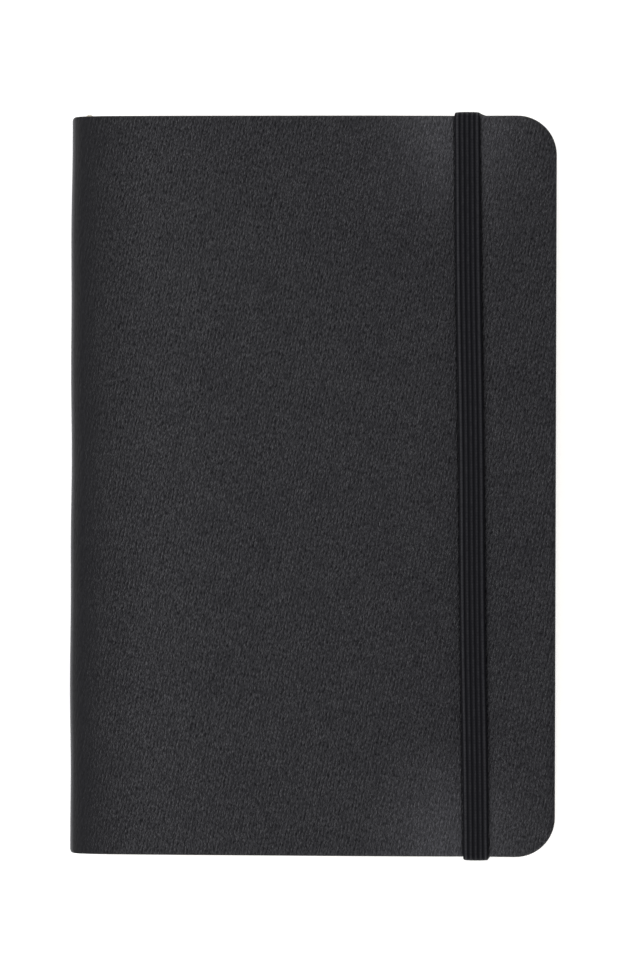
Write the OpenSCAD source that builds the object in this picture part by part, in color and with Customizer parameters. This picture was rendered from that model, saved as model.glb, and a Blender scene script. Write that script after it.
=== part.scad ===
// Pocket notebook: soft leatherette cover, twelve sewn sections and an elastic closure band.
// It lies on its back cover with the spine towards -X and the head towards +Y.
// The origin is on the resting face, under the middle of the closed book.

/* [Cover] */
// Width of the closed book, from spine to fore-edge
cover_w = 92; // [85:1:105]
// Height of the cover, from foot to head
cover_h = 140; // [130:1:160]
// Thickness of the closed book without the band
book_t = 12; // [11:0.5:16]
// Radius of the two fore-edge corners, seen from above
corner_r = 7.5; // [4:0.5:10]
// Outer radius of the fold along each edge of the spine
fold_r = 2; // [1.8:0.1:2.2]
// Thickness of the leatherette
skin_t = 0.7; // [0.5:0.1:0.8]
// Thickness of the flexible board under the leatherette
board_t = 0.6; // [0.5:0.1:0.8]

/* [Text block] */
// Thickness of an endpaper leaf
leaf_t = 0.1; // [0.08:0.01:0.15]
// Space between neighbouring leaves and sections
leaf_gap = 0.05; // [0.03:0.01:0.08]
// How far the pages stop short of the cover at head and foot
page_inset = 1.5; // [1:0.1:3]
// How far the pages stop short of the cover at the fore-edge
fore_inset = 2; // [1:0.1:3]
// Distance from the outside of the spine to the folds of the sections
fold_inset = 2.4; // [2.3:0.05:3]
// Diameter of the sewing thread
thread_d = 0.24; // [0.1:0.02:0.26]
// Number of sewing stations along the spine
stations = 6; // [4:1:8]

/* [Elastic band] */
// Width of the band
band_w = 4.8; // [4:0.1:6]
// Thickness of the band
band_t = 0.75; // [0.5:0.05:0.9]
// Distance from the middle of the book to the band, halfway up the front cover
band_x = 30.05; // [26:0.05:33]
// How much further out the band lies at the foot than at the head
band_slant = 2.1; // [0:0.1:3]
// Distance from the middle of the book to the slits in the back cover
slit_x = 32.5; // [28:0.1:34]
// Distance from the cover's edge to the slit that each end goes through
slit_inset = 7; // [5:0.5:12]
// Length of the glued tab inside the back cover
tab_l = 10; // [6:1:15]

/* [Hidden] */
$fn = 64;
SECTIONS = 12;        // folded sections in the block

front_x = cover_w / 2;
spine_x = -cover_w / 2;
head_y = cover_h / 2;
fold_gap = 0.3;       // between the spine wall and the folded corners of the covers
slack = 0.05;         // around the band's ends in the back cover

// Levels, from the resting face upwards
board_z = skin_t;
pastedown_z = skin_t + board_t;
flyleaf_z = pastedown_z + leaf_t + leaf_gap;
block_z = flyleaf_z + leaf_t + leaf_gap;
section_pitch = (book_t - 2 * block_z + leaf_gap) / SECTIONS;
section_t = section_pitch - leaf_gap;

// The text block
page_x = spine_x + fold_inset;
page_end_x = front_x - fore_inset;
page_y = head_y - page_inset;
page_r = corner_r - page_inset;
board_end_x = spine_x + fold_r;

// The spine wall and what lies behind it
spine_z = fold_r + fold_gap;
spine_h = book_t - 2 * spine_z;
liner_t = 0.5;
mull_t = 0.15;
mull_gap = 0.3;       // from the mull to the folds, where the thread runs
mull_y = 60;
sewn_z = fold_r - 0.2;
sewn_h = book_t - 2 * sewn_z;
thread_reach = 0.8 * page_y;

// Head and tail bands: rolls that stand on the ends of the folds
roll_gap = 0.1;
roll_z = 2;
head_roll_reach = head_y + 0.4;
tail_roll_reach = head_y - 0.2;

// The elastic band's run round the book
band_end_y = head_y + band_t;
head_band_x = band_x - band_slant / 2;
foot_band_x = band_x + band_slant / 2;
slit_y = head_y - slit_inset;
tab_t = 0.3;          // the glued tab is pressed flat
tab_z = pastedown_z - tab_t;

function section_name(i) = str("signature_", i < 10 ? "0" : "", i);

// Outline of a sheet with square corners at x0 and round ones of radius r at x1
module sheet_outline(x0, x1, half_h, r) {
    union() {
        translate([x0, -half_h]) square([x1 - r - x0, 2 * half_h]);
        translate([x0, r - half_h]) square([x1 - x0, 2 * (half_h - r)]);
        for (side = [-1, 1])
            translate([x1 - r, side * (half_h - r)]) circle(r = r);
    }
}

// A flat sheet lying at height z
module sheet(x0, x1, half_h, r, z, t) {
    translate([0, 0, z]) linear_extrude(height = t) sheet_outline(x0, x1, half_h, r);
}

// A profile drawn in X and Z, carried along the spine
module along_spine(half_h) {
    rotate([90, 0, 0]) linear_extrude(height = 2 * half_h, center = true) children();
}

// Profile of a cover's skin where it folds up into the spine, for the lower cover
module fold_profile() {
    intersection() {
        translate([spine_x, 0]) square([fold_r, fold_r]);
        translate([spine_x + fold_r, fold_r])
            difference() {
                circle(r = fold_r);
                circle(r = fold_r - skin_t);
            }
    }
}

// The lower cover's skin with its folded corner
module folded_skin() {
    union() {
        sheet(board_end_x, front_x, head_y, corner_r, 0, skin_t);
        along_spine(head_y) fold_profile();
    }
}

// Turns a part of the lower cover over into the same part of the upper cover
module as_front() {
    translate([0, 0, book_t]) mirror([0, 0, 1]) children();
}

// One folded section of the block, with a round fold at the spine
module section_body(z) {
    fold_radius = section_t / 2;
    union() {
        sheet(page_x + fold_radius, page_end_x, page_y, page_r, z, section_t);
        translate([page_x + fold_radius, 0, z + fold_radius])
            rotate([90, 0, 0]) cylinder(r = fold_radius, h = 2 * page_y, center = true);
    }
}

// The space that one end of the band needs in the back cover, at the head
module tail_space(grow) {
    half_w = band_w / 2 + grow;
    translate([slit_x - half_w, slit_y - grow, -1])
        cube([2 * half_w, slit_inset + 1 + grow, 1 + skin_t + grow]);
    translate([slit_x - half_w, slit_y - grow, 0])
        cube([2 * half_w, band_t + 2 * grow, pastedown_z + 1]);
    translate([slit_x - half_w, slit_y - tab_l - grow, tab_z - grow])
        cube([2 * half_w, tab_l + band_t + 2 * grow, tab_t + grow + 1]);
}

// One end of the band: under the cover, up through its slit and along inside it, at the head
module band_tail() {
    color("#18181a") union() {
        translate([slit_x - band_w / 2, slit_y, slack])
            cube([band_w, slit_inset + band_t, skin_t - slack]);
        translate([slit_x - band_w / 2, slit_y, slack])
            cube([band_w, band_t, pastedown_z - slack]);
        translate([slit_x - band_w / 2, slit_y - tab_l, tab_z])
            cube([band_w, tab_l + band_t, tab_t]);
    }
}

// The band across one end of the book, from the slit's line up to the strand
module band_leg(top_x) {
    color("#1c1c1e") translate([0, band_end_y, 0]) rotate([90, 0, 0])
        linear_extrude(height = band_t)
            polygon([
                [slit_x - band_w / 2, skin_t],
                [slit_x + band_w / 2, skin_t],
                [top_x + band_w / 2, book_t],
                [top_x - band_w / 2, book_t],
            ]);
}

// A roll that stands on the ends of the folds and reaches out to y
module end_roll(reach_y) {
    roll_r = (reach_y - page_y - roll_gap) / 2;
    color("#cfc8b8") translate([page_x + roll_r, reach_y - roll_r, roll_z])
        cylinder(r = roll_r, h = book_t - 2 * roll_z);
}

module back_cover_skin() {
    color("#2f3032") difference() {
        folded_skin();
        tail_space(slack);
        mirror([0, 1, 0]) tail_space(slack);
    }
}

module back_cover_board() {
    color("#3b3b3c") difference() {
        sheet(board_end_x, front_x - slack, head_y - slack, corner_r, board_z, board_t);
        tail_space(slack);
        mirror([0, 1, 0]) tail_space(slack);
    }
}

module back_pastedown() {
    color("#ece4d2")
        sheet(board_end_x, front_x - slack, head_y - slack, corner_r, pastedown_z, leaf_t);
}

module back_flyleaf() {
    color("#ece4d2") sheet(page_x, page_end_x, page_y, page_r, flyleaf_z, leaf_t);
}

module front_flyleaf() {
    as_front() back_flyleaf();
}

module front_pastedown() {
    as_front() back_pastedown();
}

module front_cover_board() {
    color("#3b3b3c") as_front()
        sheet(board_end_x, front_x - slack, head_y - slack, corner_r, board_z, board_t);
}

module front_cover_skin() {
    color("#2f3032") as_front() folded_skin();
}

module spine_skin() {
    color("#2f3032") translate([spine_x, -head_y, spine_z]) cube([skin_t, cover_h, spine_h]);
}

module spine_liner() {
    color("#3b3b3c") translate([spine_x + skin_t, slack - head_y, spine_z])
        cube([liner_t, cover_h - 2 * slack, spine_h]);
}

module mull_cloth() {
    color("#d8d4c8") translate([page_x - mull_gap - mull_t, -mull_y, sewn_z])
        cube([mull_t, 2 * mull_y, sewn_h]);
}

module sewing_thread() {
    step = 2 * thread_reach / (stations - 1);
    color("white") for (i = [0:stations - 1])
        translate([page_x - mull_gap / 2, i * step - thread_reach, sewn_z])
            cylinder(d = thread_d, h = sewn_h);
}

module head_band() {
    end_roll(head_roll_reach);
}

module tail_band() {
    mirror([0, 1, 0]) end_roll(tail_roll_reach);
}

// Section 1 is the uppermost, under the front cover
module signature(i) {
    color("#efe8d8") section_body(block_z + (SECTIONS - i) * section_pitch);
}

module band_strand() {
    color("#1c1c1e") translate([0, 0, book_t]) linear_extrude(height = band_t)
        polygon([
            [foot_band_x - band_w / 2, -band_end_y],
            [foot_band_x + band_w / 2, -band_end_y],
            [head_band_x + band_w / 2, band_end_y],
            [head_band_x - band_w / 2, band_end_y],
        ]);
}

module band_leg_head() {
    band_leg(head_band_x);
}

module band_leg_foot() {
    mirror([0, 1, 0]) band_leg(foot_band_x);
}

module band_tail_head() {
    band_tail();
}

module band_tail_foot() {
    mirror([0, 1, 0]) band_tail();
}

back_cover_skin();
back_cover_board();
back_pastedown();
back_flyleaf();
spine_skin();
spine_liner();
mull_cloth();
sewing_thread();
head_band();
tail_band();
front_flyleaf();
front_pastedown();
front_cover_board();
front_cover_skin();
band_strand();
band_leg_head();
band_leg_foot();
band_tail_head();
band_tail_foot();
for (i = [1:SECTIONS])
    signature(i);
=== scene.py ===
"""Looks of the pocket notebook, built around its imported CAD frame. Metres, in the frame's axes."""

import math
import random

import bmesh
import bpy
import numpy as np
from mathutils import Matrix, Vector


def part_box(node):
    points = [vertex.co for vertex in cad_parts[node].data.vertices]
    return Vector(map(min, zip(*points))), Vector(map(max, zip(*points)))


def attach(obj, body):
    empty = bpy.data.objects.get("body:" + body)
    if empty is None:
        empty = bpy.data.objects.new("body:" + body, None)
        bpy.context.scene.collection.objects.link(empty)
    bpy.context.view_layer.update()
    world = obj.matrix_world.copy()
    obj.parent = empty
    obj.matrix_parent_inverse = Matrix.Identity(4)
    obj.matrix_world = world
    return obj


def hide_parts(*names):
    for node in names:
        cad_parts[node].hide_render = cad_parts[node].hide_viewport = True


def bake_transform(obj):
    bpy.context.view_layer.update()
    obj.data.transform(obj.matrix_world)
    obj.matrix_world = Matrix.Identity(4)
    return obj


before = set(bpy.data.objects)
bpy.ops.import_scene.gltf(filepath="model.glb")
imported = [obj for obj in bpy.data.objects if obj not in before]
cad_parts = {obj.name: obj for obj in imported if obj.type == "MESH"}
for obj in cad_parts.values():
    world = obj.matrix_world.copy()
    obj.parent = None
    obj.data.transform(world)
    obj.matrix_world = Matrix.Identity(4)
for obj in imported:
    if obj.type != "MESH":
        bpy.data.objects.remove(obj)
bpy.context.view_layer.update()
MM = 0.001
rng = random.Random(7)

# ---------------------------------------------------------------- sizes, from the frame

skin_lo, skin_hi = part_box("front_cover_skin")
board_lo, board_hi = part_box("front_cover_board")
paste_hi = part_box("front_pastedown")[1]
page_lo, page_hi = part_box("signature_01")
wall_lo, wall_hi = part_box("spine_skin")
strand_lo, strand_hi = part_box("band_strand")
tail_lo, tail_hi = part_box("band_tail_head")

SPINE_X, FRONT_X = skin_lo.x, skin_hi.x
HEAD_Y, TOP_Z = skin_hi.y, skin_hi.z
FOLD_R = skin_hi.z - skin_lo.z
SKIN_T = wall_hi.x - wall_lo.x
COVER_R = 7.5 * MM                        # corners of the cover at the fore-edge
PAGE_R = COVER_R - (HEAD_Y - page_hi.y)
EDGE_R = 0.18 * MM                        # rounding of the leatherette's cut edges
MID_Z = TOP_Z / 2

BAND_W, BAND_T = 4.8 * MM, strand_hi.z - strand_lo.z
BAND_HEAD_X = strand_lo.x + BAND_W / 2
BAND_FOOT_X = strand_hi.x - BAND_W / 2
SLIT_X = (tail_lo.x + tail_hi.x) / 2
SLIT_INSET = 7 * MM                       # from the head and foot of the cover to the slits
SLIT_Y = tail_hi.y - BAND_T - SLIT_INSET
NOTCH_HALF = BAND_W / 2 + 0.05 * MM
RIBS = 5
RIB_PITCH = 0.93 * MM
RIB_HALF = 0.36 * MM
RIB_RISE = 0.12 * MM
INNER_RIB = 0.6                           # rise of the ribs between the outermost two, as a share
BAND_DOME = 0.14 * MM                     # fall of the elastic's face towards its sides

# distances along the leatherette from the middle of the spine
CURL = 1.3 * FOLD_R                       # reach of a fold, which tightens towards its middle
CURL_POWER = 2.5                          # 2 would be a quarter circle
WALL = MID_Z - CURL                       # from the middle of the spine to a fold
FOLD = CURL * math.pi / 2                 # along a fold
FLAT = FRONT_X - (SPINE_X + CURL)         # from a fold to the fore-edge
SKIN_END = WALL + FOLD + FLAT
FOLD_MIDDLE = WALL + FOLD / 2
HINGE_RUN = 0.48 * MM                     # past the middle of the fold: here the front cover bends


def s_at(x):
    """Distance along the leatherette at which it passes x on a cover."""
    return x - (SPINE_X + CURL) + WALL + FOLD


def smoothstep(t):
    t = min(1.0, max(0.0, t))
    return t * t * (3 - 2 * t)


def band_x(y):
    """Middle of the elastic over the front cover."""
    share = (y + strand_hi.y) / (2 * strand_hi.y)
    return BAND_FOOT_X + (BAND_HEAD_X - BAND_FOOT_X) * share


def from_edge(x, y):
    """Distance of a point of the cover from the cover's outline."""
    past_x, past_y = x - (FRONT_X - COVER_R), abs(y) - (HEAD_Y - COVER_R)
    if past_x > 0 and past_y > 0:
        return COVER_R - math.hypot(past_x, past_y)
    return COVER_R - max(past_x, past_y)


def lift(x, y):
    """How far the soft front cover stands off the pages: least under the elastic, near its ends."""
    from_spine = smoothstep((x - SPINE_X - 2 * MM) / (24 * MM))
    aside = x - band_x(y)
    near_edge = smoothstep((abs(y) - 46 * MM) / (24 * MM))
    pressed = math.exp(-((aside / (12 * MM)) ** 2)) * (0.3 + 0.7 * near_edge)
    dent = math.exp(-((max(0.0, abs(aside) - BAND_W / 2) / (1.5 * MM)) ** 2))
    ripple = 0.03 * math.sin(58 * x + 31 * y + 0.6) + 0.03 * math.sin(83 * y - 47 * x + 2.1)
    rolled = max(0.0, 1 - from_edge(x, y) / (1.3 * MM)) ** 2
    return (0.55 * (1 - pressed) - 0.09 * dent - 0.22 * rolled + ripple) * from_spine * MM


def spine_wave(y):
    """Small unevenness of the spine's edges."""
    return (0.07 * math.sin(92 * y + 1.3) + 0.05 * math.sin(215 * y + 0.4)) * MM


def soften(x, y, z):
    """Takes a point of the flat, square book to where it lies on the soft one."""
    upper = smoothstep((z - 2 * MM) / (8 * MM))
    near_spine = math.exp(-((x - SPINE_X) / (4 * MM)) ** 2)
    corner = max(0.0, (abs(y) - HEAD_Y + 0.9 * MM) / (0.9 * MM)) ** 2
    x += (spine_wave(y) * upper + 0.34 * MM * corner) * near_spine
    return x, y - math.copysign(0.12 * MM * corner * near_spine, y), z + lift(x, y) * upper


# ---------------------------------------------------------------- mesh tools

def finish_mesh(name, verts, faces, uvs, face_slots, materials, sharp=35):
    """A mesh object with outward normals, a UV map in metres and a material per face."""
    mesh = bpy.data.meshes.new(name)
    mesh.from_pydata(verts, [], faces)
    layer = mesh.uv_layers.new(name="along")
    at = np.zeros(len(mesh.loops), np.int32)
    mesh.loops.foreach_get("vertex_index", at)
    layer.data.foreach_set("uv", np.array(uvs, np.float32)[at].ravel())
    mesh.polygons.foreach_set("material_index", np.array(face_slots, np.int32))
    for m in materials:
        mesh.materials.append(m)
    bm = bmesh.new()
    bm.from_mesh(mesh)
    loose = [v for v in bm.verts if not v.link_faces]
    bmesh.ops.delete(bm, geom=loose, context="VERTS")
    bmesh.ops.recalc_face_normals(bm, faces=bm.faces)
    bm.to_mesh(mesh)
    bm.free()
    mesh.shade_smooth()
    mesh.set_sharp_from_angle(angle=math.radians(sharp))
    obj = bpy.data.objects.new(name, mesh)
    bpy.context.scene.collection.objects.link(obj)
    return obj


class Sheet:
    """A closed sheet with rounded edges, drawn flat in s, y and depth and put in place by a function.

    columns holds (s, half height, outward s, outward y) for each station along s; the last two are
    the outline's normal there. shares holds the rows as shares of the half height, from -1 to 1.
    """

    def __init__(self, place, thickness, edge_r, uv_sign=1.0):
        self.place, self.t, self.r, self.uv_sign = place, thickness, edge_r, uv_sign
        self.verts, self.uvs, self.faces, self.slots = [], [], [], []

    def vertex(self, s, y, depth):
        self.verts.append(self.place(s, y, depth))
        self.uvs.append((s * self.uv_sign, y))
        return len(self.verts) - 1

    def face(self, slot, *corners):
        self.faces.append(corners)
        self.slots.append(slot)

    def rings(self, steps):
        """(inset, depth) pairs that round the edge from the outer face to the inner one."""
        if self.r <= 0:
            return [(0.0, 0.0), (0.0, self.t)]
        turn = [math.radians(90 * k / steps) for k in range(steps + 1)]
        outer = [(self.r * (1 - math.sin(a)), self.r * (1 - math.cos(a))) for a in turn]
        return outer + [(i, self.t - d) for i, d in reversed(outer)]

    def build(self, columns, shares, cut=lambda s, y: False, steps=3):
        n, m = len(columns), len(shares)
        layers = []
        for depth in (0.0, self.t):
            layers.append([
                [
                    self.vertex(s - self.r * ns, share * (h - self.r * ny), depth)
                    for share in shares
                ]
                for s, h, ns, ny in columns
            ])
        outer, inner = layers
        edge = (
            [(i, m - 1) for i in range(n)]
            + [(n - 1, j) for j in range(m - 2, 0, -1)]
            + [(i, 0) for i in range(n - 1, -1, -1)]
            + [(0, j) for j in range(1, m - 1)]
        )
        loops = self.rings(steps)
        chain = []
        for i, j in edge:
            s, h, ns, ny = columns[i]
            side = 1 if j == m - 1 else -1 if j == 0 else 0
            if side == 0:
                ny = 0
                ns = math.copysign(1, ns) if abs(ns) > 0.5 else 0
            base_y = shares[j] * h if side else shares[j] * (h - self.r * columns[i][3])
            ring = [outer[i][j]]
            for inset, depth in loops[1:-1]:
                ring.append(self.vertex(s - inset * ns, base_y - side * inset * ny, depth))
            ring.append(inner[i][j])
            chain.append(ring)
        gone = set()
        for i in range(n - 1):
            for j in range(m - 1):
                middle_s = (columns[i][0] + columns[i + 1][0]) / 2
                middle_y = (shares[j] + shares[j + 1]) / 2 * columns[i][1]
                if cut(middle_s, middle_y):
                    gone.add((i, j))
                    continue
                a, b, c, d = (i, j), (i + 1, j), (i + 1, j + 1), (i, j + 1)
                self.face(0, *(outer[p][q] for p, q in (a, b, c, d)))
                self.face(2, *(inner[p][q] for p, q in (d, c, b, a)))
        for k, (one, two) in enumerate(zip(chain, chain[1:] + chain[:1])):
            (i, j), (p, q) = edge[k], edge[(k + 1) % len(edge)]
            cell = (min(i, p, n - 2), min(j, q, m - 2))
            if cell in gone:
                continue
            for a in range(len(one) - 1):
                self.face(1, one[a], two[a], two[a + 1], one[a + 1])
        for i, j in gone:
            sides = (
                ((i, j), (i + 1, j), (i, j - 1)), ((i, j + 1), (i + 1, j + 1), (i, j + 1)),
                ((i, j), (i, j + 1), (i - 1, j)), ((i + 1, j), (i + 1, j + 1), (i + 1, j)),
            )
            for (a, b), (c, d), beyond in sides:
                inside = 0 <= beyond[0] < n - 1 and 0 <= beyond[1] < m - 1
                if inside and beyond not in gone:
                    self.face(1, outer[a][b], outer[c][d], inner[c][d], inner[a][b])
        if gone:
            self.cap_cuts(edge, chain, gone, n, m)
        return self

    def cap_cuts(self, edge, chain, gone, n, m):
        """Closes the rounded edge where a cut runs out of the sheet."""
        count = len(edge)
        cells = []
        for k in range(count):
            (i, j), (p, q) = edge[k], edge[(k + 1) % count]
            cells.append((min(i, p, n - 2), min(j, q, m - 2)) in gone)
        for k in range(count):
            if cells[k] != cells[k - 1]:
                self.face(1, *chain[k])


def spread(low, high, count):
    """Evenly spaced values, both ends included."""
    return [low + (high - low) * k / (count - 1) for k in range(count)]


def corner_columns(end_s, half_h, r, count):
    """Stations round the corners of radius r that end a sheet at end_s."""
    turn = [math.radians(90 * (1 - k / count)) for k in range(1, count + 1)]
    return [
        (end_s - r * (1 - math.cos(a)), half_h - r * (1 - math.sin(a)), math.cos(a), math.sin(a))
        for a in turn
    ]


def rows(count, extra=()):
    """Rows of a sheet as shares of its half height: evenly spaced ones and a few extra ones."""
    return sorted(set(round(v, 5) for v in spread(-1, 1, count) + list(extra)))


# ---------------------------------------------------------------- materials

class Nodes:
    """A new material, with short calls for the nodes used here."""

    def __init__(self, name):
        self.material = bpy.data.materials.new(name)
        self.material.use_nodes = True
        self.tree = self.material.node_tree
        self.tree.nodes.clear()
        self.out = self.tree.nodes.new("ShaderNodeOutputMaterial")
        self.shader = self.tree.nodes.new("ShaderNodeBsdfPrincipled")
        self.tree.links.new(self.shader.outputs[0], self.out.inputs["Surface"])

    def node(self, kind, inputs=(), **settings):
        made = self.tree.nodes.new(kind)
        for key, value in settings.items():
            setattr(made, key, value)
        for key, value in dict(inputs).items():
            self.put(made.inputs[key], value)
        return made

    def put(self, socket, value):
        if isinstance(value, bpy.types.NodeSocket):
            self.tree.links.new(value, socket)
        elif value is not None:
            socket.default_value = value

    def set(self, **inputs):
        for key, value in inputs.items():
            self.put(self.shader.inputs[key.replace("_", " ")], value)

    def uv(self, scale=(1, 1, 1), turn=0.0):
        at = self.node("ShaderNodeUVMap", uv_map="along").outputs[0]
        return self.mapped(at, scale, turn)

    def place(self, scale=(1, 1, 1)):
        at = self.node("ShaderNodeTexCoord").outputs["Object"]
        return self.mapped(at, scale, 0.0)

    def mapped(self, at, scale, turn):
        """Coordinates turned about Z and then scaled."""
        turned = self.node("ShaderNodeMapping", {"Vector": at, "Rotation": (0, 0, turn)}).outputs[0]
        return self.node("ShaderNodeMapping", {"Vector": turned, "Scale": scale}).outputs[0]

    def noise(self, at, scale, detail=2.0, rough=0.5):
        made = self.node("ShaderNodeTexNoise", {
            "Vector": at, "Scale": scale, "Detail": detail, "Roughness": rough,
        })
        return made.outputs["Fac"]

    def noise_colour(self, at, scale, detail=1.0):
        made = self.node("ShaderNodeTexNoise", {"Vector": at, "Scale": scale, "Detail": detail})
        return made.outputs["Color"]

    def cells(self, at, scale):
        """Distance to the nearest border between cells."""
        made = self.node(
            "ShaderNodeTexVoronoi", {"Vector": at, "Scale": scale}, feature="DISTANCE_TO_EDGE")
        return made.outputs["Distance"]

    def math(self, operation, a, b=None, c=None):
        made = self.node("ShaderNodeMath", operation=operation)
        for socket, value in zip(made.inputs, (a, b, c)):
            self.put(socket, value)
        return made.outputs[0]

    def times(self, a, b):
        return self.math("MULTIPLY", a, b)

    def times_plus(self, a, b, c):
        return self.math("MULTIPLY_ADD", a, b, c)

    def wave(self, phase):
        """Sine of a phase, brought into 0 to 1."""
        return self.times_plus(self.math("SINE", phase), 0.5, 0.5)

    def bell(self, value):
        """1 at a value of 0, fading on both sides."""
        return self.math("EXPONENT", self.times(self.times(value, value), -1.0))

    def hill(self, value, low, top, fall, end):
        """Rises smoothly from low to top and falls again from fall to end."""
        return self.times(
            self.span(value, low, top, smooth=True), self.span(value, fall, end, 1.0, 0.0, smooth=True))

    def vector(self, operation, a, b=None, scale=None):
        made = self.node("ShaderNodeVectorMath", operation=operation)
        self.put(made.inputs[0], a)
        self.put(made.inputs[1], b)
        if scale is not None:
            self.put(made.inputs["Scale"], scale)
        return made.outputs[0]

    def span(self, value, low, high, to_low=0.0, to_high=1.0, smooth=False):
        return self.node("ShaderNodeMapRange", {
            "Value": value, "From Min": low, "From Max": high, "To Min": to_low, "To Max": to_high,
        }, interpolation_type="SMOOTHSTEP" if smooth else "LINEAR").outputs[0]

    def mix(self, share, a, b, blend="MIX"):
        made = self.node("ShaderNodeMix", data_type="RGBA", blend_type=blend)
        self.put(made.inputs[0], share)
        self.put(made.inputs[6], a)
        self.put(made.inputs[7], b)
        return made.outputs[2]

    def bump(self, height, distance, strength=1.0):
        made = self.node("ShaderNodeBump", {
            "Height": height, "Distance": distance, "Strength": strength,
        })
        return made.outputs[0]

    def split(self, at):
        return self.node("ShaderNodeSeparateXYZ", {"Vector": at}).outputs


def grey(value, blue=1.0):
    return (value, value, value * blue, 1)


GRAIN_TURN = math.radians(12)
GRAIN_PITCH = 0.70 * MM
BAND_SHEEN_S = s_at(strand_lo.x)                # where a painted sheen is brightest, beside the elastic


def grain(n):
    """Height of the pebble grain, the share of painted light in its colour (low as painted shade in its
    hollows), and its broad ridges.
    """
    flat, across_grain = n.uv(), n.split(n.uv(turn=GRAIN_TURN))[0]
    drawn = n.uv(scale=(1.38, 0.60, 1.0), turn=GRAIN_TURN)
    wander = n.vector("SUBTRACT", n.noise_colour(drawn, 800.0, 2.0), (0.5, 0.5, 0.5))
    warped = n.vector("ADD", drawn, n.vector("SCALE", wander, scale=0.0004))
    pebble = n.span(n.cells(warped, 2300.0), 0.0, 0.32, smooth=True)
    ridge = n.noise(warped, 2500.0, 1.0, 0.5)
    fine = n.noise(flat, 8000.0, 2.0, 0.6)
    sway = n.times(n.noise(drawn, 1700.0, 1.0), 10.0)
    ripple = n.wave(n.times_plus(across_grain, 2 * math.pi / GRAIN_PITCH, sway))
    height = n.times(pebble, 0.50)
    for part, share in ((ripple, 0.35), (ridge, 1.6), (fine, 0.10)):
        height = n.times_plus(part, share, height)
    # painted shade in the grain's hollows and painted light on its ridges, also lowering the shine in the
    # hollows
    painted_grain_light = n.times_plus(ripple, 0.50, n.times(n.span(ridge, 0.34, 0.56), 0.50))
    painted_grain_light = n.times(painted_grain_light, n.times_plus(pebble, 0.45, 0.55))
    return height, painted_grain_light, ridge


def band_contact_shade(n, along_s, along_y):
    """Painted contact shade: two fine dark lines along the elastic's sides, as a factor on the colour."""
    slant = (band_x(HEAD_Y) - band_x(-HEAD_Y)) / (2 * HEAD_Y)
    aside = n.math("SUBTRACT", along_s, n.times_plus(along_y, slant, s_at(band_x(0))))
    from_side = n.math("SUBTRACT", n.math("ABSOLUTE", aside), BAND_W / 2 + 0.08 * MM)
    return n.times_plus(n.bell(n.math("DIVIDE", from_side, 0.17 * MM)), -0.62, 1.0)


def leatherette():
    """Black coated cloth with a fine pebble grain that leans a little and is drawn out along the book.

    The grain is stretched nearly flat over the spine, and its hollows get painted shade. Each fold has a
    painted highlight along its outermost line, with a painted shade line behind it. The colour also holds a
    painted light falloff, painted contact shade along the elastic and a painted sheen near its ends.
    """
    n = Nodes("leatherette")
    flat = n.uv()
    along_s, along_y, _ = n.split(flat)
    run = n.math("ABSOLUTE", along_s)
    past = n.math("SUBTRACT", run, WALL)
    height, painted_grain_light, ridge = grain(n)
    patchy = n.span(n.noise(flat, 120.0, 1.0, 0.5), 0.3, 0.7, 0.85, 1.15)
    stretched = n.span(run, 6.0 * MM, 12.0 * MM, 0.12, 1.0)
    height = n.times(height, n.times(patchy, stretched))
    # the painted grain shading is fainter where the grain is stretched over the spine
    clearer = n.span(run, 7 * MM, 14 * MM, 0.3, 1.0)
    painted_grain_light = n.math("ADD", n.times(n.math("SUBTRACT", painted_grain_light, 0.42), clearer), 0.42)
    # colour from painted shade in the grain's hollows to painted light on its ridges
    base = n.mix(painted_grain_light, grey(0.0044, 1.28), grey(0.0226, 1.20))
    mottle = n.span(n.noise(flat, 34.0, 3.0, 0.55), 0.3, 0.7)
    base = n.mix(mottle, base, n.mix(1.0, base, (0.80, 0.79, 0.84, 1), "MULTIPLY"))
    # painted highlight along each fold's outermost line and a painted shade line just behind it, multiplied
    # into the colour
    outermost = n.hill(past, -0.5 * MM, 0.9 * MM, 1.2 * MM, 2.5 * MM)
    fold_shade_line = n.hill(past, 2.0 * MM, 2.6 * MM, 2.9 * MM, 4.0 * MM)
    painted_fold_light = n.times_plus(outermost, 0.95, n.times_plus(fold_shade_line, -0.42, 1.0))
    # painted light falloff: darker up to 9 mm from the spine's middle, lighter from 19 mm, then darker
    # towards the fore-edge and the head
    near_spine = n.span(run, 9 * MM, 19 * MM, 0.79, 1.045)
    to_fore_edge = n.span(run, 20 * MM, 90 * MM, 1.0, 0.89)
    to_head = n.span(along_y, 0.0, HEAD_Y, 1.0, 0.97)
    painted_light_factor = n.times(painted_fold_light, n.times(n.times(near_spine, to_fore_edge), to_head))
    # painted contact shade along both sides of the elastic
    painted_light_factor = n.times(painted_light_factor, band_contact_shade(n, along_s, along_y))
    # the colour is scaled by the painted fold light, the painted light falloff and the painted contact
    # shade
    base = n.vector("SCALE", base, scale=painted_light_factor)
    # painted sheen: near the elastic's ends the colour is brightened nearly twice, with more shine there
    painted_band_sheen = n.bell(n.math("DIVIDE", n.math("SUBTRACT", along_s, BAND_SHEEN_S), 11 * MM))
    near_ends = n.span(n.math("ABSOLUTE", along_y), 44 * MM, HEAD_Y, smooth=True)
    painted_band_sheen = n.times(painted_band_sheen, near_ends)
    base = n.mix(painted_band_sheen, base, n.mix(1.0, base, grey(1.95, 1.0), "MULTIPLY"))
    n.set(
        Base_Color=base,
        Roughness=n.span(ridge, 0.3, 0.7, 0.52, 0.42),
        Specular_IOR_Level=n.times(n.times_plus(painted_band_sheen, 0.22, n.span(painted_grain_light, 0.0, 1.0, 0.10, 0.51)), painted_light_factor),
        Normal=n.bump(height, 0.075 * MM),
    )
    return n.material


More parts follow.
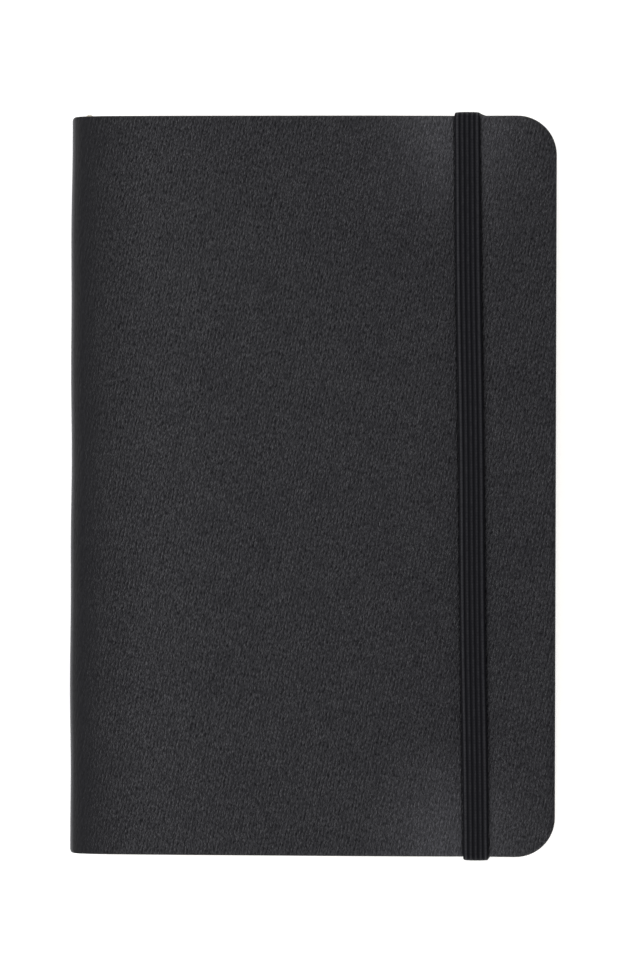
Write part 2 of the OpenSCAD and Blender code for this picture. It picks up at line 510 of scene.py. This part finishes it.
def cut_edge():
    """Edge of the leatherette where it is trimmed: a black film on dark felted backing."""
    n = Nodes("cut_edge")
    at = n.place()
    felt = n.noise(at, 2600.0, 3.0, 0.7)
    n.set(
        Base_Color=n.mix(n.span(felt, 0.35, 0.7), grey(0.009), grey(0.021)),
        Roughness=n.span(felt, 0.3, 0.7, 0.62, 0.85),
        Normal=n.bump(felt, 0.05 * MM, 0.7),
    )
    return n.material


def backing():
    """Woven backing on the hidden side of the leatherette."""
    n = Nodes("backing")
    turns = 2 * math.pi / (0.5 * MM)
    x, y, _ = n.split(n.uv(scale=(turns, turns, 1)))
    weave = n.times(n.math("SINE", x), n.math("SINE", y))
    n.set(
        Base_Color=n.mix(n.span(weave, -1, 1), grey(0.012), grey(0.03)),
        Roughness=0.85,
        Normal=n.bump(weave, 0.04 * MM, 0.8),
    )
    return n.material


def paper(name, colour, shade, fibre_scale=1500.0):
    """Uncoated paper with fibres and a little cloudiness."""
    n = Nodes(name)
    at = n.place()
    fibres = n.noise(n.mapped(at, (1.0, 0.35, 1.0), 0.3), fibre_scale, 4.0, 0.65)
    cloud = n.noise(at, 90.0, 3.0, 0.6)
    tone = n.math("ADD", n.times(fibres, 0.5), n.times(cloud, 0.5))
    n.set(
        Base_Color=n.mix(n.span(tone, 0.3, 0.7), shade, colour),
        Roughness=n.span(fibres, 0.3, 0.7, 0.80, 0.92),
        Specular_IOR_Level=0.25,
        Normal=n.bump(fibres, 0.02 * MM, 0.6),
    )
    return n.material


def page_edges():
    """Trimmed edges of the leaves: fine lines along the stack, with darker gaps between."""
    n = Nodes("page_edges")
    at = n.place()
    z = n.split(at)[2]
    lines = n.noise(n.mapped(at, (14.0, 14.0, 9000.0), 0.0), 1.0, 2.0, 0.6)
    dust = n.noise(at, 700.0, 3.0, 0.6)
    tone = n.times_plus(dust, 0.3, n.times(lines, 0.7))
    n.set(
        Base_Color=n.mix(
            n.span(tone, 0.35, 0.65), (0.50, 0.45, 0.35, 1), (0.80, 0.74, 0.62, 1)
        ),
        Roughness=n.span(z, 0.0, TOP_Z, 0.86, 0.90),
        Specular_IOR_Level=0.2,
        Normal=n.bump(lines, 0.04 * MM, 0.7),
    )
    return n.material


def card():
    """Flexible board: dark grey fibre board with specks."""
    n = Nodes("card")
    at = n.place()
    fibres = n.noise(at, 1900.0, 4.0, 0.7)
    n.set(
        Base_Color=n.mix(n.span(fibres, 0.35, 0.7), grey(0.035), grey(0.075)),
        Roughness=0.9,
        Normal=n.bump(fibres, 0.05 * MM, 0.6),
    )
    return n.material


def elastic():
    """Knitted elastic: matt black yarn over ribs, with painted highlights on the rib crowns, brightest on
    the outermost two, and painted shade along its sides.
    """
    n = Nodes("elastic")
    flat = n.uv()
    across, along, _ = n.split(flat)
    from_middle = n.math("ABSOLUTE", across)
    rib = n.math("ADD", n.math("DIVIDE", across, RIB_PITCH), 0.5)
    within = n.math("ABSOLUTE", n.math("SUBTRACT", n.math("FRACT", rib), 0.5))
    # painted highlight on the rib crowns and painted shade in the grooves between them
    crown_highlight = n.span(within, 0.32, 0.05, smooth=True)
    # brighter painted highlight on the outermost two ribs
    selvedge_highlight = n.span(from_middle, 1.35 * MM, 1.45 * MM, 0.80, 1.25)
    # painted shade: the colour goes dark along both sides of the elastic
    side = n.span(from_middle, 2.10 * MM, 2.24 * MM, 1.0, 0.0)
    wobble = n.times(n.noise(flat, 900.0, 2.0), 2.4)
    slant = n.times_plus(within, 3.2, wobble)
    stitch = n.wave(n.times_plus(along, 2 * math.pi / (0.55 * MM), slant))
    yarn = n.noise(n.uv(scale=(1.0, 0.35, 1.0)), 4800.0, 3.0, 0.65)
    uneven = n.span(n.noise(n.uv(scale=(1.0, 0.5, 1.0)), 1100.0, 2.0), 0.35, 0.65, 0.74, 1.14)
    woven = n.times_plus(yarn, 0.75, n.times(stitch, 0.25))
    lit = n.times(n.times(woven, crown_highlight), n.times(selvedge_highlight, uneven))
    lit = n.times(n.times_plus(lit, 0.9, 0.05), side)
    n.set(
        Base_Color=n.mix(n.span(lit, 0.05, 0.6), grey(0.0034, 1.45), grey(0.0098, 1.35)),
        Roughness=n.span(yarn, 0.3, 0.7, 0.46, 0.62),
        Specular_IOR_Level=n.span(lit, 0.0, 0.55, 0.04, 0.31),
        Normal=n.bump(woven, 0.05 * MM, 0.6),
    )
    return n.material


def cloth(name, pale, dark, pitch):
    """Plain weave, from two crossed waves."""
    n = Nodes(name)
    _, y, z = n.split(n.place(scale=(1, 2 * math.pi / pitch, 2 * math.pi / pitch)))
    weave = n.times(n.math("SINE", y), n.math("SINE", z))
    fuzz = n.noise(n.place(), 2400.0, 3.0, 0.6)
    tone = n.times_plus(fuzz, 0.5, n.times(weave, 0.25))
    n.set(
        Base_Color=n.mix(n.span(tone, 0.0, 0.6), dark, pale),
        Roughness=n.span(fuzz, 0.3, 0.7, 0.8, 0.92),
        Normal=n.bump(n.math("ADD", weave, fuzz), 0.05 * MM, 0.8),
    )
    return n.material


def silk():
    """The rolled end band: pale thread wound round a core."""
    n = Nodes("silk")
    flat = n.uv()
    around, along, _ = n.split(flat)
    wound = n.wave(n.times_plus(along, 2 * math.pi / (0.34 * MM), n.times(around, 3.0)))
    fuzz = n.noise(flat, 3500.0, 3.0, 0.6)
    n.set(
        Base_Color=n.mix(
            n.times_plus(fuzz, 0.4, n.times(wound, 0.6)),
            (0.30, 0.27, 0.21, 1), (0.66, 0.62, 0.52, 1),
        ),
        Roughness=n.span(fuzz, 0.3, 0.7, 0.45, 0.7),
        Normal=n.bump(wound, 0.06 * MM, 0.9),
    )
    return n.material


def twist():
    """White sewing thread, twisted."""
    n = Nodes("twist")
    x, _, z = n.split(n.place())
    ply = n.wave(n.times_plus(z, 2 * math.pi / (0.4 * MM), n.times(x, 9000.0)))
    n.set(
        Base_Color=n.mix(ply, (0.45, 0.44, 0.41, 1), (0.78, 0.77, 0.73, 1)),
        Roughness=n.span(ply, 0, 1, 0.75, 0.6),
        Normal=n.bump(ply, 0.04 * MM, 0.8),
    )
    return n.material


FLOOR_GLOW = 0.42


def floor_paint():
    """Plain pale studio floor, a little brighter than its light makes it."""
    n = Nodes("floor_paint")
    dust = n.noise(n.place(), 6.0, 2.0)
    n.set(
        Base_Color=n.mix(n.span(dust, 0.3, 0.7), (0.86, 0.86, 0.86, 1), (0.87, 0.87, 0.87, 1)),
        Roughness=0.9,
        Specular_IOR_Level=0.1,
        Emission_Color=(1, 1, 1, 1),
        Emission_Strength=FLOOR_GLOW,
    )
    return n.material


LEATHERETTE, CUT_EDGE, BACKING = leatherette(), cut_edge(), backing()
PAGE = paper("page_paper", (0.76, 0.71, 0.60, 1), (0.70, 0.64, 0.53, 1))
ENDPAPER = paper("endpaper", (0.72, 0.66, 0.55, 1), (0.66, 0.60, 0.48, 1), 1100.0)
PAGE_EDGES, CARD, ELASTIC = page_edges(), card(), elastic()
MULL = cloth("mull", (0.66, 0.63, 0.56, 1), (0.36, 0.34, 0.29, 1), 0.9 * MM)
SILK, TWIST = silk(), twist()


def dress(node, material):
    """Gives a CAD node that keeps its own shape its material."""
    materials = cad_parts[node].data.materials
    materials.clear()
    materials.append(material)


# ---------------------------------------------------------------- leatherette

def wrap(s):
    """Outer surface of the leatherette, s from the middle of the spine: x, z and the normal."""
    centre_x, centre_z = SPINE_X + CURL, TOP_Z - CURL
    if s <= WALL:
        return SPINE_X, MID_Z + s, -1.0, 0.0
    if s <= WALL + FOLD:
        a = (s - WALL) / CURL
        cos, sin = max(0.0, math.cos(a)), math.sin(a)
        reach, slope = 2 / CURL_POWER, 2 - 2 / CURL_POWER
        nx, nz = cos ** slope, sin ** slope
        size = math.hypot(nx, nz)
        x, z = centre_x - CURL * cos ** reach, centre_z + CURL * sin ** reach
        return x, z, -nx / size, nz / size
    return centre_x + s - WALL - FOLD, TOP_Z, 0.0, 1.0


def skin_place(side):
    """Placer for the leatherette: side 1 is the front half of the wrap and -1 the back half."""
    def place(s, y, depth):
        x, z, nx, nz = wrap(s)
        x, z = x - nx * depth, z - nz * depth
        if side < 0:
            z = TOP_Z - z
        return soften(x, y, z)
    return place


def straight(positions, half_h=HEAD_Y):
    return [(s, half_h, 0.0, 1.0) for s in positions]


def stations(start, stops):
    """Straight stations from start, through each (end, count) of stops."""
    found, low = [start], start
    for high, count in stops:
        found += spread(low, high, count + 1)[1:]
        low = high
    return straight(found)


def in_notch(s, y):
    """The openings that the elastic's ends lie in, flush with the back cover."""
    return abs(s - s_at(SLIT_X)) < NOTCH_HALF and abs(y) > SLIT_Y


def add_piece(name, sheet, node, looks):
    """Makes the mesh piece of a sheet, in place of a CAD node. looks: outer face, edge, inner face."""
    piece = finish_mesh(name, sheet.verts, sheet.faces, sheet.uvs, sheet.slots, looks)
    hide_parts(node)
    return piece


def make_skin():
    """The leatherette in three parts, which meet in the middle of the folds and bend there."""
    near_edge = [1 - k * 0.25 * MM / HEAD_Y for k in range(1, 6)]
    cover_rows = rows(113, near_edge + [-share for share in near_edge])
    corner_s = SKIN_END - COVER_R
    corner = corner_columns(SKIN_END, HEAD_Y, COVER_R, 16)
    past_fold = WALL + FOLD + 4 * MM
    to_wall_end = [(WALL - 1 * MM, 6), (WALL, 4)]
    band_start, band_end = s_at(strand_lo.x - 3 * MM), s_at(strand_hi.x + 3 * MM)
    front = Sheet(skin_place(1), SKIN_T, EDGE_R).build(
        stations(FOLD_MIDDLE, [
            (FOLD_MIDDLE + HINGE_RUN, 16), (WALL + FOLD, 10), (past_fold, 8),
            (band_start, 50), (band_end, 32), (corner_s, 2),
        ]) + corner, cover_rows)
    spine = Sheet(skin_place(1), SKIN_T, EDGE_R).build(
        stations(0.0, to_wall_end + [(FOLD_MIDDLE, 14)]), cover_rows)
    notch_share = SLIT_Y / (HEAD_Y - EDGE_R)
    notch_start, notch_end = s_at(SLIT_X) - NOTCH_HALF, s_at(SLIT_X) + NOTCH_HALF
    back = Sheet(skin_place(-1), SKIN_T, EDGE_R, -1.0).build(
        stations(0.0, to_wall_end + [
            (WALL + FOLD, 24), (past_fold, 8), (notch_start, 48), (notch_end, 4), (corner_s, 3),
        ]) + corner, rows(57, (notch_share, -notch_share)), in_notch)
    looks = (LEATHERETTE, CUT_EDGE, BACKING)
    front = add_piece("front_cover_leatherette", front, "front_cover_skin", looks)
    spine = add_piece("spine_leatherette", spine, "spine_skin", looks)
    back = add_piece("back_cover_leatherette", back, "back_cover_skin", looks)
    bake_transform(back)
    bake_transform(spine)
    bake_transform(front)


# ---------------------------------------------------------------- boards and endpapers

def level_place(top_z):
    """Placer for a sheet that lies level under the front cover, its outer face at top_z."""
    return lambda s, y, depth: soften(s, y, top_z - depth)


def make_boards():
    """The front board follows the soft cover, and the back board and the liner keep their CAD shape."""
    columns = straight(
        [board_lo.x] + spread(board_lo.x + 1 * MM, board_lo.x + 14 * MM, 8)
        + spread(board_hi.x - 72 * MM, board_hi.x - COVER_R, 14), board_hi.y)
    columns += corner_columns(board_hi.x, board_hi.y, COVER_R, 10)
    sheet = Sheet(level_place(board_hi.z), board_hi.z - board_lo.z, 0.08 * MM)
    sheet.build(columns, rows(33), steps=2)
    front = add_piece("front_board", sheet, "front_cover_board", (CARD, CARD, CARD))
    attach(front, "front_cover")
    dress("back_cover_board", CARD)
    dress("spine_liner", CARD)


ENDPAPER_T = 0.06 * MM
HINGE_X = page_lo.x - 1.28 * MM           # where the front endpaper folds back, in the cover's fold
HINGE_REACH = 2.5 * MM                    # from there to the far edges of the folded part


def hinge_place(low_z, high_z):
    """Placer for the endpaper's folded part, and the radius of its fold.

    s below 0 lies on the flyleaf, then come the fold and the part under the cover.
    """
    r, centre_z = (high_z - low_z) / 2, (high_z + low_z) / 2

    def place(s, y, depth):
        if s < 0:
            x, z = HINGE_X - s, low_z + depth
        elif s < math.pi * r:
            x = HINGE_X - (r - depth) * math.sin(s / r)
            z = centre_z - (r - depth) * math.cos(s / r)
        else:
            x, z = HINGE_X + s - math.pi * r, high_z - depth
        return soften(x, y, z)
    return place, r


def make_endpapers():
    """The front endpaper: the part folded in the cover's fold, and the pastedown that goes on from it."""
    looks = (ENDPAPER, ENDPAPER, ENDPAPER)
    place, r = hinge_place(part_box("front_flyleaf")[1].z + 0.002 * MM, paste_hi.z)
    turns = spread(0, 72, 5) + spread(78, 102, 17) + spread(108, 180, 9)
    along = spread(-HINGE_REACH, -0.2 * MM, 6) + [r * math.radians(a) for a in turns]
    along += spread(math.pi * r + 0.2 * MM, math.pi * r + HINGE_REACH, 6)
    sheet = Sheet(place, ENDPAPER_T, 0.0).build(straight(along, paste_hi.y), rows(33))
    hinge = add_piece("front_endpaper_hinge", sheet, "front_pastedown", looks)
    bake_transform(hinge)
    columns = straight(
        spread(HINGE_X + HINGE_REACH, HINGE_X + 10 * MM, 8)
        + spread(HINGE_X + 14 * MM, paste_hi.x - COVER_R, 16), paste_hi.y)
    columns += corner_columns(paste_hi.x, paste_hi.y, COVER_R, 10)
    sheet = Sheet(level_place(paste_hi.z), ENDPAPER_T, 0.0).build(columns, rows(33))
    leaf = add_piece("front_endpaper", sheet, "front_pastedown", looks)
    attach(leaf, "front_cover")
    dress("back_pastedown", ENDPAPER)


# ---------------------------------------------------------------- pages

SECTIONS, FRONT_SECTIONS = 12, 2          # the book opens after the front ones
LEAVES = 8                                # leaves of paper in a section, as four folded sheets
LEAF_SHARE = 0.86                         # of a leaf's place in the stack, the rest is air
BEND_X = page_lo.x + 4.2 * MM             # the pages turn into the spine between here and their folds


def folded_place(centre_x, centre_z, r):
    """Placer for a folded sheet, and the length of half its fold.

    s is 0 in the middle of the fold and grows towards the upper leaf's fore-edge.
    """
    quarter = math.pi * r / 2

    def place(s, y, depth):
        up = 1 if s >= 0 else -1
        a = abs(s)
        if a <= quarter:
            nx, nz = -math.cos(a / r), up * math.sin(a / r)
            return (centre_x + (r - depth) * nx, y, centre_z + (r - depth) * nz)
        return (centre_x + a - quarter, y, centre_z + up * (r - depth))
    return place, quarter


def half_columns(quarter, centre_x, far, half_h, r):
    """Stations of one leaf, from its fold to its fore-edge."""
    round_fold = [quarter * k / 4 for k in range(1, 5)]
    along_x = spread(page_lo.x + 0.8 * MM, BEND_X + 1 * MM, 12)
    along_x += [-34 * MM, -20 * MM, 0, 18 * MM, 32 * MM, FRONT_X - 2 * MM - r]
    level = [x - centre_x + quarter for x in along_x]
    return straight(round_fold + level, half_h) + corner_columns(far, half_h, r, 7)


def mirrored(columns):
    return [(-s, h, -ns, ny) for s, h, ns, ny in reversed(columns)]


def make_section(number):
    """One sewn section: four sheets folded into each other."""
    name = f"signature_{number:02d}"
    lo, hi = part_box(name)
    thickness = hi.z - lo.z
    pitch = thickness / LEAVES
    leaf_t = LEAF_SHARE * pitch
    centre_x, centre_z = lo.x + thickness / 2, (lo.z + hi.z) / 2
    shift = rng.uniform(-0.06, 0.06) * MM
    verts, faces, uvs, slots = [], [], [], []
    for k in range(LEAVES // 2):
        r = thickness / 2 - k * pitch
        half_h = hi.y - rng.uniform(0, 0.05) * MM
        place, quarter = folded_place(centre_x, centre_z, r)
        far = hi.x - centre_x + quarter + shift + rng.uniform(-0.05, 0.0) * MM
        one = half_columns(quarter, centre_x, far, half_h, PAGE_R)
        columns = mirrored(one) + straight([0.0], half_h) + one
        made = Sheet(place, leaf_t, 0.0).build(columns, rows(7))
        faces += [tuple(v + len(verts) for v in f) for f in made.faces]
        verts, uvs, slots = verts + made.verts, uvs + made.uvs, slots + made.slots
    obj = finish_mesh(name + "_leaves", verts, faces, uvs, slots, (PAGE, PAGE_EDGES, PAGE))
    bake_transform(obj)
    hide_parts(name)


def make_flyleaf(node):
    """A free endpaper: a flat sheet with close stations near the spine."""
    lo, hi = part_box(node)
    near_spine = spread(lo.x + 0.6 * MM, BEND_X + 1 * MM, 12)
    columns = straight([lo.x] + near_spine + spread(-34 * MM, hi.x - PAGE_R, 8), hi.y)
    columns += corner_columns(hi.x, hi.y, PAGE_R, 8)
    sheet = Sheet(lambda s, y, depth: (s, y, hi.z - depth), hi.z - lo.z, 0.0).build(columns, rows(7))
    leaf = add_piece(node + "_leaf", sheet, node, (ENDPAPER, PAGE_EDGES, ENDPAPER))
    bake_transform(leaf)


# ---------------------------------------------------------------- binding

def tube_faces(rings, around):
    """Faces between rings of points, each ring with as many points, and the two caps."""
    faces = []
    for k in range(rings - 1):
        for a in range(around):
            b = (a + 1) % around
            faces.append((k * around + a, k * around + b, (k + 1) * around + b, (k + 1) * around + a))
    faces.append(tuple(range(around)))
    faces.append(tuple((rings - 1) * around + a for a in range(around)))
    return faces


def make_end_roll(name, node):
    """A rolled end band: a slightly uneven roll with domed ends, wound with thread."""
    lo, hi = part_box(node)
    r, length = (hi.x - lo.x) / 2, hi.z - lo.z
    centre_x, centre_y = (lo.x + hi.x) / 2, (lo.y + hi.y) / 2
    centre_y += math.copysign(0.16 * MM, centre_y)
    rings, around = 29, 24
    verts, uvs = [], []
    for share in spread(0, 1, rings):
        z = lo.z + length * share
        into_dome = min(1.0, min(share, 1 - share) * length / (0.8 * r))
        dome = math.sqrt(1 - (1 - into_dome) ** 2)
        radius = r * max(0.15, dome) * (0.95 + 0.03 * math.sin(9 * share))
        for a in range(around):
            turn = 2 * math.pi * a / around
            verts.append((centre_x + radius * math.cos(turn), centre_y + radius * math.sin(turn), z))
            uvs.append((turn, z))
    faces = tube_faces(rings, around)
    roll = finish_mesh(name, verts, faces, uvs, [0] * len(faces), (SILK,))
    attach(roll, "spine")
    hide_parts(node)


def make_binding():
    make_end_roll("head_roll", "head_band")
    make_end_roll("tail_roll", "tail_band")
    dress("mull_cloth", MULL)
    dress("sewing_thread", TWIST)


# ---------------------------------------------------------------- elastic

def band_section():
    """Outline of the elastic, domed and ribbed on top: (across, up, depth below the crowns)."""
    shoulder = BAND_T - RIB_RISE - BAND_DOME - 0.08 * MM
    points = [(-BAND_W / 2, 0.2 * MM, 0.0), (-BAND_W / 2 + 0.02 * MM, shoulder, 0.0)]
    for k in range(RIBS):
        middle = (k - (RIBS - 1) / 2) * RIB_PITCH
        rib_rise = RIB_RISE if k in (0, RIBS - 1) else INNER_RIB * RIB_RISE
        for share in (-1, -0.92, -0.75, -0.5, -0.25, 0, 0.25, 0.5, 0.75, 0.92, 1):
            across = middle + share * RIB_HALF
            rise = (1 - share * share) ** 0.7 * rib_rise
            dome = BAND_DOME * abs(across / (BAND_W / 2)) ** 3
            points.append((across, BAND_T - RIB_RISE - dome + rise, RIB_RISE - rise))
    points += [(BAND_W / 2 - 0.02 * MM, shoulder, 0.0), (BAND_W / 2, 0.2 * MM, 0.0)]
    points += [(w, 0.0, 0.0) for w in spread(BAND_W / 2 - 0.15 * MM, -BAND_W / 2 + 0.15 * MM, 6)]
    return points


def filleted(points, radius, steps):
    """Points of a path in y and z with its right-angled left turns rounded, and the normals there.

    Each is (y, z, normal y, normal z), with the normal on the right of the way along.
    """
    found = []
    for k, here in enumerate(points):
        here = np.array(here)
        if k in (0, len(points) - 1):
            other = np.array(points[1] if k == 0 else points[-2])
            run = (other - here) if k == 0 else (here - other)
            run = run / np.linalg.norm(run)
            found.append((*here, run[1], -run[0]))
            continue
        before, after = here - np.array(points[k - 1]), np.array(points[k + 1]) - here
        before, after = before / np.linalg.norm(before), after / np.linalg.norm(after)
        centre = here - before * radius + after * radius
        first = np.array((before[1], -before[0]))
        last = np.array((after[1], -after[0]))
        for j in range(steps + 1):
            a = math.pi / 2 * j / steps
            normal = first * math.cos(a) + last * math.sin(a)
            found.append((*(centre + normal * radius), *normal))
    return found


def band_route():
    """Stations of the elastic's inner face: y, z, normal y, normal z and the distance along it."""
    under, top, end, slit = SKIN_T, TOP_Z, HEAD_Y, SLIT_Y + BAND_T
    corners = [
        (slit, under + 0.5 * MM), (slit, under), (end, under), (end, top),
        (-end, top), (-end, under), (-slit, under), (-slit, under + 0.5 * MM),
    ]
    rounded = filleted(corners, 0.3 * MM, 7)
    route, far = [], 0.0
    for one, two in zip(rounded, rounded[1:]):
        length = math.hypot(two[0] - one[0], two[1] - one[1])
        pieces = max(1, round(length / (1.6 * MM)))
        for k in range(pieces):
            share = k / pieces
            y, z = one[0] + (two[0] - one[0]) * share, one[1] + (two[1] - one[1]) * share
            route.append((y, z, one[2], one[3], far + length * share))
        far += length
    route.append((*rounded[-1], far))
    return route


def band_middle(y, z):
    """Middle of the elastic across the book, anywhere on its way round."""
    up = smoothstep(0.5 * (z - SKIN_T) / (TOP_Z - SKIN_T) + 0.25)
    low, high = smoothstep(0.25), smoothstep(0.75)
    share = min(1.0, max(0.0, (up - low) / (high - low)))
    return SLIT_X + (band_x(y) - SLIT_X) * share


def make_band():
    """The elastic as one ribbed strap from slit to slit; where it turns, its grooves close."""
    section, route = band_section(), band_route()
    verts, uvs = [], []
    for y, z, ny, nz, far in route:
        middle = band_middle(y, z)
        wander = 0.06 * MM * math.sin(95 * y + 0.8) * smoothstep((z - 9 * MM) / (3 * MM))
        raised = lift(middle, y) * smoothstep((z - 2 * MM) / (8 * MM))
        closing = 0.9 * smoothstep(1.6 * abs(ny)) * smoothstep((z - 9 * MM) / (2 * MM))
        for w, up, groove in section:
            up += groove * closing
            verts.append((middle + wander + w, y + ny * up, z + nz * up + raised))
            uvs.append((w, far))
    faces = tube_faces(len(route), len(section))
    strap = finish_mesh("elastic_band", verts, faces, uvs, [0] * len(faces), (ELASTIC,), sharp=50)
    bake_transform(strap)
    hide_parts("band_strand", "band_leg_head", "band_leg_foot", "band_tail_head", "band_tail_foot")


make_skin()
make_boards()
make_endpapers()
for number in range(1, SECTIONS + 1):
    make_section(number)
make_flyleaf("front_flyleaf")
make_flyleaf("back_flyleaf")
make_binding()
make_band()

# ---------------------------------------------------------------- floor, light and camera

FLOOR_HALF = 1.6
TENT_TOP, TENT_SIDES = 0.34, 1.3          # brightness of the white tent overhead and at the horizon
CAMERA_AIM = Vector((-0.04 * MM, -0.24 * MM, 6 * MM))
CAMERA_FROM_AIM = Vector((20 * MM, 0.0, 594 * MM))
CAMERA_ROLL = math.radians(0.17)
CAMERA_LENS = 114.98


def make_floor():
    """The floor that the book lies on, a hair below it."""
    mesh = bpy.data.meshes.new("floor")
    signs = ((-1, -1), (1, -1), (1, 1), (-1, 1))
    mesh.from_pydata([(a * FLOOR_HALF, b * FLOOR_HALF, 0) for a, b in signs], [], [(0, 1, 2, 3)])
    mesh.materials.append(floor_paint())
    floor = bpy.data.objects.new("floor", mesh)
    floor.location.z = -0.05 * MM
    bpy.context.scene.collection.objects.link(floor)


def area_light(name, place, size, power):
    """A square light that faces the book."""
    data = bpy.data.lights.new(name, "AREA")
    data.size, data.energy = size, power
    light = bpy.data.objects.new(name, data)
    light.location = place
    light.rotation_mode = "QUATERNION"
    light.rotation_quaternion = (-Vector(place)).to_track_quat("-Z", "Y")
    bpy.context.scene.collection.objects.link(light)


def make_light():
    """A white tent, dimmer overhead, with a soft key from the spine's side and weaker ones at both ends."""
    world = bpy.data.worlds.new("studio")
    world.use_nodes = True
    tree = world.node_tree
    ground = tree.nodes["Background"]
    ground.inputs["Color"].default_value = (1, 1, 1, 1)
    towards = tree.nodes.new("ShaderNodeTexCoord").outputs["Generated"]
    axes = tree.nodes.new("ShaderNodeSeparateXYZ")
    tree.links.new(towards, axes.inputs[0])
    fade = tree.nodes.new("ShaderNodeMapRange")
    tree.links.new(axes.outputs["Z"], fade.inputs["Value"])
    fade.inputs["To Min"].default_value, fade.inputs["To Max"].default_value = TENT_SIDES, TENT_TOP
    tree.links.new(fade.outputs[0], ground.inputs["Strength"])
    bpy.context.scene.world = world
    area_light("left", (-1.95, 0.2, 1.25), 1.5, 30)
    area_light("head", (0.2, 1.9, 1.35), 1.5, 11)
    area_light("foot", (0.2, -1.9, 1.35), 1.5, 11)
    view = bpy.context.scene.view_settings
    view.view_transform, view.look = "Standard", "None"


def make_camera():
    """Above the book and a little towards its fore-edge, as the photograph sees it."""
    data = bpy.data.cameras.new("camera")
    data.lens, data.sensor_width = CAMERA_LENS, 36.0
    data.clip_start, data.clip_end = 0.01, 10.0
    camera = bpy.data.objects.new("camera", data)
    camera.location = CAMERA_AIM + CAMERA_FROM_AIM
    back = CAMERA_FROM_AIM.normalized()
    across = Vector((0, 1, 0)).cross(back).normalized()
    turn = Matrix((across, back.cross(across), back)).transposed().to_euler()
    turn.rotate_axis("Z", CAMERA_ROLL)
    camera.rotation_euler = turn
    bpy.context.scene.collection.objects.link(camera)
    bpy.context.scene.camera = camera


make_floor()
make_light()
make_camera()
